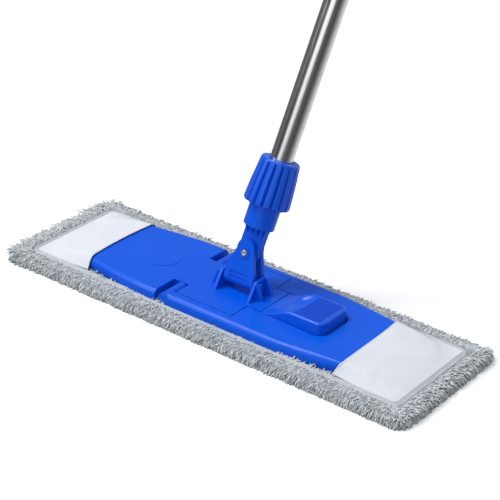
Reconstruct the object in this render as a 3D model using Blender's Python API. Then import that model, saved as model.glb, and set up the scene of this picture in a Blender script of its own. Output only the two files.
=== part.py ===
"""Flat pocket mop: folding two-wing frame, pad, tilting joint and clamped tube handle.

Frame: metres, +Z up. The origin is at the centre of the pad's sole, on the floor. X runs along
the mop's length, with the foot pedal on the +X side, and the joint's main tilt is about X.
"""
from math import cos, pi, radians, sin

import bmesh
import bpy
from mathutils import Matrix, Vector

MM = 0.001

# Pad
PAD_LENGTH = 470 * MM
PAD_WIDTH = 160 * MM
PAD_CORNER = 14 * MM
PAD_TOP = 7.6 * MM
PILE_TOP = 10.5 * MM
INNER_LENGTH = 425 * MM
INNER_WIDTH = 118.6 * MM
BEND_HALF = 20 * MM
PAD_GAP = 0.3 * MM

# Folding frame
FRAME_BASE = 8 * MM
FRAME_TOP = 20 * MM
FRAME_HALF_WIDTH = 57 * MM
WING_END = 198 * MM
TIP_SLOPE_START = 152 * MM
TIP_FALL = 7 * MM
WING_TIP_HALF_WIDTH = 40 * MM
TIP_CORNER = 12 * MM
TAPER_START = 75 * MM
WALL = 2.4 * MM
EDGE_ROUND = 7 * MM
DISC_X = -94.5 * MM
DISC_RADIUS = 18 * MM
DISC_HEIGHT = 0.4 * MM

# Fold hinge, across the frame
FOLD_X = -48 * MM
FOLD_Z = 14 * MM
KNUCKLE_RADIUS = 5.9 * MM
KNUCKLE_INNER_Y = 27.3 * MM
SLOT_LEFT = -58.7 * MM
NECK_HALF_WIDTH = 26.5 * MM
TONGUE_START = -40.4 * MM
TONGUE_HALF_WIDTH = 45.6 * MM
TONGUE_END = 25.6 * MM
NOSE_HALF_WIDTH = 22.4 * MM
NOSE_END = 41 * MM
SEAM = 0.9 * MM
PIN_RADIUS = 2 * MM
PIN_BORE = 2.3 * MM

# Foot pedal
PEDAL_START = 42 * MM
PEDAL_END = 110 * MM
PEDAL_HALF_WIDTH = 22.4 * MM
PEDAL_TOP = 31 * MM
PEDAL_BOTTOM = 14 * MM
PEDAL_CORNER = 8 * MM
PEDAL_PIN_X = 60 * MM
PEDAL_PIN_Z = 13 * MM
WELL_GAP = 1.2 * MM
WELL_ROUND = 2.6 * MM
RIB_COUNT = 10
RIB_FIRST = 74 * MM
RIB_STEP = 3.2 * MM

# Posts and yoke
JOINT_X = 3 * MM
YOKE_PIN_Z = 30 * MM
POST_INNER = 18.5 * MM
POST_THICKNESS = 3 * MM
POST_TOP = 37.5 * MM
POST_TOP_HALF = 8.5 * MM
POST_BASE_HALF = 19 * MM
FIN_OUT = 9 * MM
FIN_THICKNESS = 2.6 * MM
FIN_Y = 8.5 * MM
YOKE_TILT = radians(19)
BARREL_DEPTH = 6.4 * MM
BARREL_HALF = 16.8 * MM
BOLT_HEIGHT = 27 * MM
EAR_HALF = 9.5 * MM
EAR_OUTER = 8.8 * MM
EAR_INNER = 4.6 * MM
EAR_GAP_FLOOR = 5.6 * MM
HANDLE_SWING = radians(6)

# Socket, nut and handle, measured along the handle from the bolt
TONGUE_RADIUS = 11.2 * MM
TONGUE_HALF_THICKNESS = 3.6 * MM
COLLAR_START = 27 * MM
COLLAR_RADIUS = 15.1 * MM
THREAD_START = 54 * MM
THREAD_RADIUS = 13.8 * MM
COLLET_START = 72 * MM
COLLET_END = 90 * MM
NUT_START = 50 * MM
NUT_END = 94 * MM
NUT_RADIUS_LOW = 22.2 * MM
NUT_RADIUS_HIGH = 18.6 * MM
NUT_LOBES = 16
TUBE_START = 38 * MM
TUBE_RADIUS = 11 * MM
TUBE_WALL = 0.4 * MM
HANDLE_END = 1050 * MM
GRIP_LENGTH = 130 * MM
GRIP_WALL = 2.2 * MM
HOLE_WIDTH = 9 * MM

BLUE = (0.008, 0.075, 0.62)


def clear_scene():
    for item in list(bpy.data.objects):
        bpy.data.objects.remove(item, do_unlink=True)


def material(name, colour, roughness, metallic=0.0):
    made = bpy.data.materials.new(name)
    made.use_nodes = True
    shader = made.node_tree.nodes["Principled BSDF"]
    shader.inputs["Base Color"].default_value = (*colour, 1.0)
    shader.inputs["Roughness"].default_value = roughness
    shader.inputs["Metallic"].default_value = metallic
    return made


def blue_plastic():
    return material("blue_plastic", BLUE, 0.38)


def polished_steel():
    return material("polished_steel", (0.72, 0.72, 0.73), 0.16, 1.0)


def zinc_steel():
    return material("zinc_steel", (0.62, 0.62, 0.6), 0.32, 1.0)


def spring_steel():
    return material("spring_steel", (0.42, 0.43, 0.45), 0.3, 1.0)


def clear_nylon():
    return material("natural_nylon", (0.78, 0.76, 0.7), 0.45)


def grey_pile():
    return material("grey_microfibre", (0.36, 0.38, 0.39), 0.95)


def white_cloth():
    return material("white_pocket_cloth", (0.78, 0.82, 0.88), 0.85)


def mesh_object(name, bm):
    """Turn a bmesh into a named object with outward faces."""
    bmesh.ops.recalc_face_normals(bm, faces=bm.faces)
    mesh = bpy.data.meshes.new(name)
    bm.to_mesh(mesh)
    bm.free()
    made = bpy.data.objects.new(name, mesh)
    bpy.context.scene.collection.objects.link(made)
    return made


def prism_mesh(outline, low, high):
    """A closed bmesh: a flat (x, y) outline extruded from low to high in z."""
    bm = bmesh.new()
    base = [bm.verts.new((x, y, low)) for x, y in outline]
    face = bm.faces.new(base)
    grown = bmesh.ops.extrude_face_region(bm, geom=[face])
    lifted = [v for v in grown["geom"] if isinstance(v, bmesh.types.BMVert)]
    bmesh.ops.translate(bm, verts=lifted, vec=(0, 0, high - low))
    return bm


def prism(name, outline, low, high):
    return mesh_object(name, prism_mesh(outline, low, high))


def side_prism(name, outline, low, high):
    """An (x, z) outline extruded along y from low to high."""
    made = prism(name, outline, -high, -low)
    made.data.transform(Matrix.Rotation(pi / 2, 4, "X"))
    return made


def end_prism(name, outline, low, high):
    """A (y, z) outline extruded along x from low to high."""
    made = prism(name, outline, low, high)
    made.data.transform(Matrix(((0, 0, 1, 0), (1, 0, 0, 0), (0, 1, 0, 0), (0, 0, 0, 1))))
    return made


def box(name, low, high):
    outline = [(low[0], low[1]), (high[0], low[1]), (high[0], high[1]), (low[0], high[1])]
    return prism(name, outline, low[2], high[2])


def rod(name, radius, start, end, sides=24):
    """A round bar between two points."""
    start, end = Vector(start), Vector(end)
    bm = bmesh.new()
    bmesh.ops.create_cone(bm, cap_ends=True, segments=sides, radius1=radius, radius2=radius,
                          depth=(end - start).length)
    turn = (end - start).to_track_quat("Z", "Y").to_matrix().to_4x4()
    bmesh.ops.transform(bm, matrix=Matrix.Translation((start + end) / 2) @ turn, verts=bm.verts)
    return mesh_object(name, bm)


def turned(name, profile, sides=40):
    """A solid of revolution about z from (radius, height) points; the profile closes on itself."""
    bm = bmesh.new()
    rings = []
    for step in range(sides):
        angle = 2 * pi * step / sides
        rings.append([bm.verts.new((r * cos(angle), r * sin(angle), z)) for r, z in profile])
    count = len(profile)
    for step in range(sides):
        here, there = rings[step], rings[(step + 1) % sides]
        for i in range(count):
            j = (i + 1) % count
            if profile[i][0] > 0 or profile[j][0] > 0:
                bm.faces.new((here[i], there[i], there[j], here[j]))
    bmesh.ops.remove_doubles(bm, verts=bm.verts, dist=1e-7)
    return mesh_object(name, bm)


def arc(centre, radius, start, end, steps):
    """Points on an arc, angles in degrees."""
    points = []
    for i in range(steps + 1):
        angle = radians(start + (end - start) * i / steps)
        points.append((centre[0] + radius * cos(angle), centre[1] + radius * sin(angle)))
    return points


def rounded_rectangle(x0, x1, y0, y1, radius, steps=5):
    return (arc((x1 - radius, y0 + radius), radius, -90, 0, steps)
            + arc((x1 - radius, y1 - radius), radius, 0, 90, steps)
            + arc((x0 + radius, y1 - radius), radius, 90, 180, steps)
            + arc((x0 + radius, y0 + radius), radius, 180, 270, steps))


def combine(target, others, operation):
    """Apply one Boolean per helper object and hide the helpers."""
    for other in others:
        other.hide_render = True
        other.display_type = "WIRE"
        other.hide_set(True)
        step = target.modifiers.new(other.name, "BOOLEAN")
        step.operation = operation
        step.solver = "EXACT"
        step.object = other


def cut(target, cutters):
    combine(target, cutters, "DIFFERENCE")


def join(target, pieces):
    combine(target, pieces, "UNION")


def round_edges(bm, wanted, width, segments=5):
    edges = [e for e in bm.edges if wanted(e)]
    bmesh.ops.bevel(bm, geom=edges, offset=width, segments=segments, profile=0.5, affect="EDGES",
                    clamp_overlap=False)


def smooth(thing, angle=35):
    thing.data.shade_smooth()
    thing.data.set_sharp_from_angle(angle=radians(angle))


def finish_part(thing, look, parent=None):
    thing.data.materials.append(look)
    smooth(thing)
    helpers = [step.object for step in thing.modifiers if step.type == "BOOLEAN"]
    for item in [thing] + helpers:
        item.parent = parent


def wing_half_width(x):
    """Half width of the frame at a distance x from the middle."""
    reach = max(0.0, abs(x) - TAPER_START)
    share = reach / (WING_END - TAPER_START)
    return FRAME_HALF_WIDTH - (FRAME_HALF_WIDTH - WING_TIP_HALF_WIDTH) * share ** 1.3


def slope_line(x):
    """Height of the sloping plane that thins a wing's end, at a distance x from the middle."""
    return FRAME_TOP - TIP_FALL * (abs(x) - TIP_SLOPE_START) / (WING_END - TIP_SLOPE_START)


def wing_top(x):
    """Height of the frame's top at a distance x from the middle: it slopes down inside the pockets."""
    return min(FRAME_TOP, slope_line(x))


def tip_slope(name, direction):
    """The wedge taken off the top of a wing's end, so that it slides into its pocket."""
    start = direction * TIP_SLOPE_START
    end = direction * (WING_END + 2 * MM)
    outline = [(start, FRAME_TOP), (end, wing_top(WING_END + 2 * MM)),
               (end, FRAME_TOP + 5 * MM), (start, FRAME_TOP + 5 * MM)]
    return side_prism(name, outline, -80 * MM, 80 * MM)


def wing_edge(start, end, side, steps=12):
    """Points along a wing's long edge, from x = start to x = end, on the +y or -y side."""
    points = []
    for i in range(steps + 1):
        x = start + (end - start) * i / steps
        points.append((x, side * wing_half_width(x)))
    return points


def wing_tip(direction):
    """The rounded end of a wing, from the -y side to the +y side."""
    inner = WING_END - TIP_CORNER
    low = wing_half_width(inner) - TIP_CORNER
    lower = arc((inner, -low), TIP_CORNER, -90, 0, 5)
    upper = arc((inner, low), TIP_CORNER, 0, 90, 5)
    return [(direction * x, y) for x, y in lower + upper]


def well_rim(edge):
    """True on the top edges round the end of the pedal's well."""
    for v in edge.verts:
        across = abs(v.co.y) < NOSE_HALF_WIDTH + SEAM + 0.1 * MM
        along = PEDAL_END - 20 * MM <= v.co.x <= PEDAL_END + 3 * MM
        if v.co.z < FRAME_TOP - 1e-5 or not across or not along:
            return False
    return True


def outer_top_edge(edge):
    """True on the frame's outer top rim, and false on the seams between the two wings."""
    for v in edge.verts:
        at_rim = abs(v.co.y) > wing_half_width(v.co.x) - 0.05 * MM
        at_tip = abs(v.co.x) > WING_END - TIP_CORNER - 0.1 * MM
        if v.co.z < FRAME_TOP - 1e-5 or not (at_rim or at_tip):
            return False
    return True


def rib_pockets(name, spans, side_wall=WALL + 2.4 * MM):
    """Boxes that hollow the frame from below, leaving ribs between them."""
    cutters = []
    for index, (x0, x1, inner, limit) in enumerate(spans):
        outer = min(wing_half_width(x0), wing_half_width(x1), limit) - side_wall
        ceiling = min(wing_top(x0), wing_top(x1)) - WALL
        for side in (-1, 1):
            low = (x0, min(side * inner, side * outer), FRAME_BASE - 2 * MM)
            high = (x1, max(side * inner, side * outer), ceiling)
            cutters.append(box(f"{name}_pocket_{index}_{side}", low, high))
    return cutters


def post(direction):
    """One joint post with its two outside fins, on the tongue."""
    label = "right" if direction > 0 else "left"
    foot = FRAME_TOP - 1 * MM
    near = JOINT_X + direction * POST_INNER
    far = near + direction * POST_THICKNESS
    flank = [(-POST_BASE_HALF, foot), (POST_BASE_HALF, foot), (POST_TOP_HALF, POST_TOP - 2 * MM),
             (POST_TOP_HALF - 2 * MM, POST_TOP), (-POST_TOP_HALF + 2 * MM, POST_TOP),
             (-POST_TOP_HALF, POST_TOP - 2 * MM)]
    pieces = [end_prism(f"post_wall_{label}", flank, min(near, far), max(near, far))]
    inside = far - direction * 1 * MM
    fin = [(inside, foot), (far + direction * FIN_OUT, foot),
           (far + direction * 2.2 * MM, POST_TOP - 1.5 * MM), (inside, POST_TOP - 1.5 * MM)]
    for side in (-1, 1):
        middle = side * (FIN_Y - FIN_THICKNESS / 2)
        pieces.append(side_prism(f"post_fin_{label}_{side}", fin, middle - FIN_THICKNESS / 2,
                                 middle + FIN_THICKNESS / 2))
    return pieces


def make_left_wing(look):
    tail = [(TONGUE_START, NECK_HALF_WIDTH), (TONGUE_START, TONGUE_HALF_WIDTH),
            (TONGUE_END, TONGUE_HALF_WIDTH), (TONGUE_END, NOSE_HALF_WIDTH), (NOSE_END, NOSE_HALF_WIDTH)]
    tip = [(-x, -y) for x, y in wing_tip(1)]
    outline = (wing_edge(-WING_END + TIP_CORNER, SLOT_LEFT, -1) + [(SLOT_LEFT, -NECK_HALF_WIDTH)]
               + [(x, -y) for x, y in tail] + tail[::-1]
               + [(SLOT_LEFT, NECK_HALF_WIDTH)] + wing_edge(SLOT_LEFT, -WING_END + TIP_CORNER, 1) + tip[1:-1])
    bm = prism_mesh(outline, FRAME_BASE, FRAME_TOP)
    round_edges(bm, outer_top_edge, EDGE_ROUND)
    wing = mesh_object("left_wing", bm)
    disc = rod("plain_disc", DISC_RADIUS, (DISC_X, 0, FRAME_TOP - 1 * MM),
               (DISC_X, 0, FRAME_TOP + DISC_HEIGHT), 48)
    join(wing, post(-1) + post(1) + [disc])
    spans = [(-190 * MM, -150 * MM, 1.2 * MM, 1), (-147.6 * MM, -106 * MM, 1.2 * MM, 1),
             (-103.6 * MM, -62 * MM, 1.2 * MM, 1), (-37.5 * MM, -18 * MM, 1.2 * MM, TONGUE_HALF_WIDTH),
             (-13 * MM, 19 * MM, 1.2 * MM, TONGUE_HALF_WIDTH)]
    cutters = rib_pockets("left_wing", spans)
    for side in (-1, 1):
        cutters.append(rod(f"neck_bore_{side}", PIN_BORE, (FOLD_X, side * 10 * MM, FOLD_Z),
                           (FOLD_X, side * 30 * MM, FOLD_Z), 16))
    cutters.append(rod("post_bore", PIN_RADIUS + 0.8 * MM, (JOINT_X - 30 * MM, 0, YOKE_PIN_Z),
                       (JOINT_X + 30 * MM, 0, YOKE_PIN_Z), 20))
    cutters.append(tip_slope("left_tip_slope", -1))
    cut(wing, cutters)
    finish_part(wing, look)
    return wing


def make_right_wing(look, parent):
    arm_inner = TONGUE_HALF_WIDTH + SEAM
    arm_end = FOLD_X
    well = NOSE_HALF_WIDTH + SEAM
    step = TONGUE_END + SEAM
    well_end = PEDAL_END + WELL_GAP
    corner = PEDAL_CORNER + WELL_GAP
    upper_inner = [(arm_end, arm_inner), (step, arm_inner), (step, well)]
    well_lower = arc((well_end - corner, -well + corner), corner, -90, 0, 4)
    well_upper = arc((well_end - corner, well - corner), corner, 0, 90, 4)
    rim_start = PEDAL_END - 18 * MM
    inner = ([(x, -y) for x, y in upper_inner] + [(rim_start, -well)] + well_lower + well_upper
             + [(rim_start, well)] + upper_inner[::-1])
    outline = (wing_edge(arm_end, WING_END - TIP_CORNER, -1, 16) + wing_tip(1)[1:-1]
               + wing_edge(WING_END - TIP_CORNER, arm_end, 1, 16) + inner[::-1])
    bm = prism_mesh(outline, FRAME_BASE, FRAME_TOP)
    round_edges(bm, outer_top_edge, EDGE_ROUND)
    round_edges(bm, well_rim, WELL_ROUND, 4)
    wing = mesh_object("right_wing", bm)
    knuckles = []
    for side in (-1, 1):
        knuckles.append(rod(f"knuckle_{side}", KNUCKLE_RADIUS, (FOLD_X, side * KNUCKLE_INNER_Y, FOLD_Z),
                            (FOLD_X, side * (FRAME_HALF_WIDTH - 0.6 * MM), FOLD_Z), 32))
    join(wing, knuckles)
    spans = [(150 * MM, 190 * MM, 1.2 * MM, 1), (115 * MM, 147.6 * MM, 1.2 * MM, 1),
             (78 * MM, 112.6 * MM, 26.5 * MM, 1), (47 * MM, 75.6 * MM, 26.5 * MM, 1)]
    cutters = rib_pockets("right_wing", spans)
    for side in (-1, 1):
        cutters.append(rod(f"knuckle_bore_{side}", PIN_BORE, (FOLD_X, side * 24 * MM, FOLD_Z),
                           (FOLD_X, side * 54 * MM, FOLD_Z), 16))
        cutters.append(rod(f"pedal_bore_{side}", PIN_BORE, (PEDAL_PIN_X, side * 20 * MM, PEDAL_PIN_Z),
                           (PEDAL_PIN_X, side * 29 * MM, PEDAL_PIN_Z), 16))
    cutters.append(tip_slope("right_tip_slope", 1))
    cut(wing, cutters)
    finish_part(wing, look, parent)


def make_hinge_pins(look, parent):
    for label, side in (("front", -1), ("rear", 1)):
        pin = rod(f"hinge_pin_{label}", PIN_RADIUS, (FOLD_X, side * 12 * MM, FOLD_Z),
                  (FOLD_X, side * 53 * MM, FOLD_Z), 16)
        finish_part(pin, look, parent)


def pedal_profile():
    """The pedal's side outline: a ramp up from the tongue, a flat tread and a straight end."""
    ramp = []
    for i in range(11):
        share = i / 10
        ease = share * share * (3 - 2 * share)
        ramp.append((PEDAL_START + 2 * MM + share * 30 * MM, FRAME_TOP + (PEDAL_TOP - FRAME_TOP) * ease))
    end = arc((PEDAL_END - 2.5 * MM, PEDAL_TOP - 2.5 * MM), 2.5 * MM, 90, 0, 3)
    return ([(PEDAL_START, FRAME_TOP - 4 * MM), (PEDAL_START, FRAME_TOP)] + ramp + end
            + [(PEDAL_END, PEDAL_BOTTOM), (PEDAL_START + 6 * MM, PEDAL_BOTTOM)])


def make_pedal(look, parent):
    pedal = side_prism("foot_pedal", pedal_profile(), -PEDAL_HALF_WIDTH, PEDAL_HALF_WIDTH)
    plan = rounded_rectangle(PEDAL_START - 20 * MM, PEDAL_END, -PEDAL_HALF_WIDTH, PEDAL_HALF_WIDTH,
                             PEDAL_CORNER)
    corners = prism("pedal_plan", plan, 0, 60 * MM)
    combine(pedal, [corners], "INTERSECT")
    cutters = [box("pedal_hollow", (PEDAL_PIN_X + 8 * MM, -PEDAL_HALF_WIDTH + 2.4 * MM, 5 * MM),
                   (PEDAL_END - 2.6 * MM, PEDAL_HALF_WIDTH - 2.4 * MM, PEDAL_TOP - 3 * MM)),
               box("spring_room", (PEDAL_PIN_X - 6.5 * MM, -6 * MM, 5 * MM),
                   (PEDAL_PIN_X + 9 * MM, 6 * MM, PEDAL_PIN_Z + 7 * MM))]
    for i in range(RIB_COUNT):
        x = RIB_FIRST + i * RIB_STEP
        cutters.append(box(f"tread_groove_{i}",
                           (x - 0.55 * MM, -PEDAL_HALF_WIDTH + 3 * MM, PEDAL_TOP - 0.8 * MM),
                           (x + 0.55 * MM, PEDAL_HALF_WIDTH - 3 * MM, PEDAL_TOP + 2 * MM)))
    hub = rod("pedal_hub", 5.2 * MM, (PEDAL_PIN_X, -PEDAL_HALF_WIDTH + 0.4 * MM, PEDAL_PIN_Z),
              (PEDAL_PIN_X, PEDAL_HALF_WIDTH - 0.4 * MM, PEDAL_PIN_Z), 24)
    join(pedal, [hub])
    cutters.append(rod("pedal_pin_bore", PIN_BORE, (PEDAL_PIN_X, -30 * MM, PEDAL_PIN_Z),
                       (PEDAL_PIN_X, 30 * MM, PEDAL_PIN_Z), 16))
    cut(pedal, cutters)
    finish_part(pedal, look, parent)


def make_pedal_pin(look, parent):
    pin = rod("pedal_pin", PIN_RADIUS, (PEDAL_PIN_X, -28.4 * MM, PEDAL_PIN_Z),
              (PEDAL_PIN_X, 28.4 * MM, PEDAL_PIN_Z), 16)
    finish_part(pin, look, parent)


def make_pedal_spring(look, parent):
    """A torsion spring wound round the pedal pin, with one leg each way."""
    wire = 0.55 * MM
    coil = 3.4 * MM
    turns = 5
    per_turn = 14
    half = 4.2 * MM
    points = [(PEDAL_PIN_X - 5.4 * MM, -half, PEDAL_PIN_Z + coil)]
    for i in range(turns * per_turn + 1):
        angle = 2 * pi * i / per_turn
        points.append((PEDAL_PIN_X + coil * sin(angle), -half + 2 * half * i / (turns * per_turn),
                       PEDAL_PIN_Z + coil * cos(angle)))
    points.append((PEDAL_PIN_X + 7.5 * MM, half, PEDAL_PIN_Z + coil))
    curve = bpy.data.curves.new("pedal_spring", "CURVE")
    curve.dimensions = "3D"
    curve.bevel_depth = wire
    curve.bevel_resolution = 1
    curve.use_fill_caps = True
    spline = curve.splines.new("POLY")
    spline.points.add(len(points) - 1)
    for slot, point in zip(spline.points, points):
        slot.co = (*point, 1)
    spring = bpy.data.objects.new("pedal_spring", curve)
    bpy.context.scene.collection.objects.link(spring)
    curve.materials.append(look)
    spring.parent = parent


def yoke_outline():
    """The yoke's front outline: a wide foot that narrows to one round-topped ear."""
    top_centre = BOLT_HEIGHT + 4.6 * MM
    right = [(BARREL_HALF, -BARREL_DEPTH - 3 * MM), (BARREL_HALF, 9 * MM), (BARREL_HALF - 1.6 * MM, 13 * MM)]
    crown = arc((0, top_centre), EAR_HALF, -8, 188, 14)
    left = [(-x, z) for x, z in reversed(right)]
    return right + crown + left


def make_yoke(look, parent):
    yoke = side_prism("yoke", yoke_outline(), -EAR_OUTER, EAR_OUTER)
    foot = [(y, z * BARREL_DEPTH / EAR_OUTER) for y, z in arc((0, 0), EAR_OUTER, 180, 360, 16)]
    rounding = [(-EAR_OUTER, 60 * MM)] + foot + [(EAR_OUTER, 60 * MM)]
    sides = end_prism("yoke_side_view", rounding, -40 * MM, 40 * MM)
    combine(yoke, [sides], "INTERSECT")
    cutters = [box("ear_gap", (-40 * MM, -EAR_INNER, EAR_GAP_FLOOR), (40 * MM, EAR_INNER, 80 * MM)),
               rod("yoke_bore", PIN_RADIUS + 0.8 * MM, (-40 * MM, 0, 0), (40 * MM, 0, 0), 20),
               rod("bolt_bore", 2.8 * MM, (0, -20 * MM, BOLT_HEIGHT), (0, 20 * MM, BOLT_HEIGHT), 20)]
    for side in (-1, 1):
        face = side * EAR_OUTER
        inner = face - side * 1 * MM
        for z0, z1 in ((0.4 * MM, 3.2 * MM), (4.6 * MM, 7.6 * MM)):
            cutters.append(box(f"panel_{side}_{round(z1 / MM)}", (-11 * MM, min(face + side * MM, inner), z0),
                               (11 * MM, max(face + side * MM, inner), z1)))
    bosses = [rod(f"bolt_boss_{side}", 5.6 * MM, (0, side * 7 * MM, BOLT_HEIGHT),
                  (0, side * (EAR_OUTER + 0.8 * MM), BOLT_HEIGHT), 28) for side in (-1, 1)]
    seats = [rod(f"bolt_seat_{side}", (3.4 if side < 0 else 4.5) * MM,
                 (0, side * (EAR_OUTER - 1 * MM), BOLT_HEIGHT),
                 (0, side * (EAR_OUTER + 3 * MM), BOLT_HEIGHT), 24) for side in (-1, 1)]
    join(yoke, bosses)
    cut(yoke, cutters + seats)
    finish_part(yoke, look, parent)


def make_yoke_pin(look, parent):
    reach = POST_INNER + POST_THICKNESS
    pin = rod("yoke_pin", PIN_RADIUS + 0.5 * MM, (JOINT_X - reach, 0, YOKE_PIN_Z),
              (JOINT_X + reach, 0, YOKE_PIN_Z), 20)
    finish_part(pin, look, parent)


def make_joint_fasteners(steel, nylon, parent):
    """The cross bolt through the ears, its nut, and the two friction washers on the socket."""
    face = EAR_OUTER - 1 * MM + 0.1 * MM
    shank = rod("joint_bolt", 2.5 * MM,
                (0, -face - 1 * MM, BOLT_HEIGHT), (0, face + 3.4 * MM, BOLT_HEIGHT), 20)
    head = rod("bolt_head", 3 * MM, (0, -face, BOLT_HEIGHT), (0, -face - 2 * MM, BOLT_HEIGHT), 28)
    socket = rod("bolt_recess", 1.3 * MM,
                 (0, -face - 0.6 * MM, BOLT_HEIGHT), (0, -face - 4 * MM, BOLT_HEIGHT), 6)
    join(shank, [head])
    cut(shank, [socket])
    finish_part(shank, steel, parent)
    nut = rod("joint_nut", 4.1 * MM, (0, face, BOLT_HEIGHT), (0, face + 3 * MM, BOLT_HEIGHT), 6)
    cut(nut, [rod("nut_bore", 2.8 * MM, (0, 0, BOLT_HEIGHT), (0, 20 * MM, BOLT_HEIGHT), 20)])
    finish_part(nut, steel, parent)
    for label, side in (("front", -1), ("rear", 1)):
        near = side * (TONGUE_HALF_THICKNESS + 0.2 * MM)
        far = side * (EAR_INNER - 0.2 * MM)
        washer = rod(f"friction_washer_{label}", 6.5 * MM, (0, near, BOLT_HEIGHT), (0, far, BOLT_HEIGHT), 28)
        cut(washer, [rod(f"washer_bore_{label}", 2.8 * MM, (0, -20 * MM, BOLT_HEIGHT),
                         (0, 20 * MM, BOLT_HEIGHT), 20)])
        finish_part(washer, nylon, parent)


def make_socket(look, parent):
    """The handle socket: a flat tongue, a round collar, a threaded stretch and a split collet."""
    bore = TUBE_RADIUS + 0.3 * MM
    outer = [(bore, TUBE_START - 1 * MM), (bore, COLLET_END), (bore + 1 * MM, COLLET_END),
             (THREAD_RADIUS - 0.2 * MM, COLLET_START), (THREAD_RADIUS, COLLET_START - 1 * MM),
             (THREAD_RADIUS, THREAD_START), (COLLAR_RADIUS, THREAD_START),
             (COLLAR_RADIUS, COLLAR_START + 0.6 * MM), (COLLAR_RADIUS - 0.6 * MM, COLLAR_START),
             (0, COLLAR_START), (0, TUBE_START - 1 * MM)]
    socket = turned("handle_socket", outer, 44)
    tongue_outline = (arc((0, 0), TONGUE_RADIUS, 180, 360, 14)
                      + [(TONGUE_RADIUS + 0.3 * MM, COLLAR_START + 3 * MM),
                         (-TONGUE_RADIUS - 0.3 * MM, COLLAR_START + 3 * MM)])
    tongue = side_prism("socket_tongue", tongue_outline, -TONGUE_HALF_THICKNESS, TONGUE_HALF_THICKNESS)
    pieces = [tongue]
    for i in (-1.5, -0.5, 0.5, 1.5):
        x = i * 6 * MM
        flute = [(-8.6 * MM, COLLAR_START + 2 * MM), (-3 * MM, 16.5 * MM), (3 * MM, 16.5 * MM),
                 (8.6 * MM, COLLAR_START + 2 * MM)]
        pieces.append(end_prism(f"socket_rib_{i}", flute, x - 1.1 * MM, x + 1.1 * MM))
    join(socket, pieces)
    cutters = [rod("socket_bolt_bore", 2.8 * MM, (0, -20 * MM, 0), (0, 20 * MM, 0), 20)]
    for turn in (0, 1):
        slit = box(f"collet_slit_{turn}", (-20 * MM, -0.7 * MM, COLLET_START - 4 * MM),
                   (20 * MM, 0.7 * MM, COLLET_END + 5 * MM))
        slit.data.transform(Matrix.Rotation(turn * pi / 2, 4, "Z"))
        cutters.append(slit)
    cut(socket, cutters)
    finish_part(socket, look, parent)


def make_clamp_nut(look, parent):
    """The ribbed cone that squeezes the collet: lobes all round, fading into a thin top rim."""
    around = NUT_LOBES * 6
    levels = ((NUT_START, NUT_RADIUS_LOW, 1.0), (NUT_START + 2 * MM, NUT_RADIUS_LOW + 0.2 * MM, 1.0),
              (NUT_START + 22 * MM, 21 * MM, 1.0), (NUT_END - 5 * MM, NUT_RADIUS_HIGH + 0.8 * MM, 0.7),
              (NUT_END - 2.5 * MM, NUT_RADIUS_HIGH, 0.0), (NUT_END, NUT_RADIUS_HIGH - 0.8 * MM, 0.0))
    bm = bmesh.new()
    rings = []
    for height, radius, depth in levels:
        ring = []
        for i in range(around):
            angle = 2 * pi * i / around
            wave = abs(sin(angle * NUT_LOBES / 2)) ** 0.7
            reach = radius - 2.3 * MM * depth * (1 - wave)
            ring.append(bm.verts.new((reach * cos(angle), reach * sin(angle), height)))
        rings.append(ring)
    for low, high in zip(rings, rings[1:]):
        for i in range(around):
            j = (i + 1) % around
            bm.faces.new((low[i], low[j], high[j], high[i]))
    bm.faces.new(rings[0][::-1])
    bm.faces.new(rings[-1])
    nut = mesh_object("clamp_nut", bm)
    clear = 0.4 * MM
    hole = [(0, NUT_START - 5 * MM), (COLLAR_RADIUS + clear, NUT_START - 5 * MM),
            (COLLAR_RADIUS + clear, THREAD_START + 1 * MM), (THREAD_RADIUS + clear, THREAD_START + 1 * MM),
            (THREAD_RADIUS + clear, COLLET_START), (TUBE_RADIUS + 1.9 * MM, COLLET_END),
            (TUBE_RADIUS + clear, COLLET_END + 1 * MM), (TUBE_RADIUS + clear, NUT_END + 5 * MM),
            (0, NUT_END + 5 * MM)]
    cut(nut, [turned("nut_bore_shape", hole, 40)])
    finish_part(nut, look, parent)


def make_tube(look, parent):
    inner = TUBE_RADIUS - TUBE_WALL
    tube = turned("handle_tube", [(inner, TUBE_START), (TUBE_RADIUS, TUBE_START),
                                  (TUBE_RADIUS, HANDLE_END - 12 * MM), (inner, HANDLE_END - 12 * MM)], 64)
    finish_part(tube, look, parent)


def make_tube_plug(look, parent):
    """A short plug that keeps the tube's clamped end round."""
    radius = TUBE_RADIUS - TUBE_WALL - 0.3 * MM
    plug = turned("tube_plug", [(0, TUBE_START + 1 * MM), (radius, TUBE_START + 1 * MM),
                                (radius, COLLET_END + 20 * MM), (radius - 2 * MM, COLLET_END + 20 * MM),
                                (radius - 2 * MM, TUBE_START + 6 * MM), (0, TUBE_START + 6 * MM)], 24)
    finish_part(plug, look, parent)


def make_grip(look, parent):
    inner = TUBE_RADIUS + 0.3 * MM
    outer = inner + GRIP_WALL
    low = HANDLE_END - 16 * MM - GRIP_LENGTH
    high = HANDLE_END - 16 * MM
    profile = [(inner, low), (outer - 0.8 * MM, low), (outer, low + 1 * MM)]
    for i in range(6):
        start = low + 18 * MM + i * 16 * MM
        profile += [(outer, start), (outer - 0.9 * MM, start + 1.2 * MM),
                    (outer - 0.9 * MM, start + 3.2 * MM), (outer, start + 4.4 * MM)]
    profile += [(outer, high - 1 * MM), (outer - 0.8 * MM, high), (inner, high)]
    grip = turned("grip_sleeve", profile, 32)
    finish_part(grip, look, parent)


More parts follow.
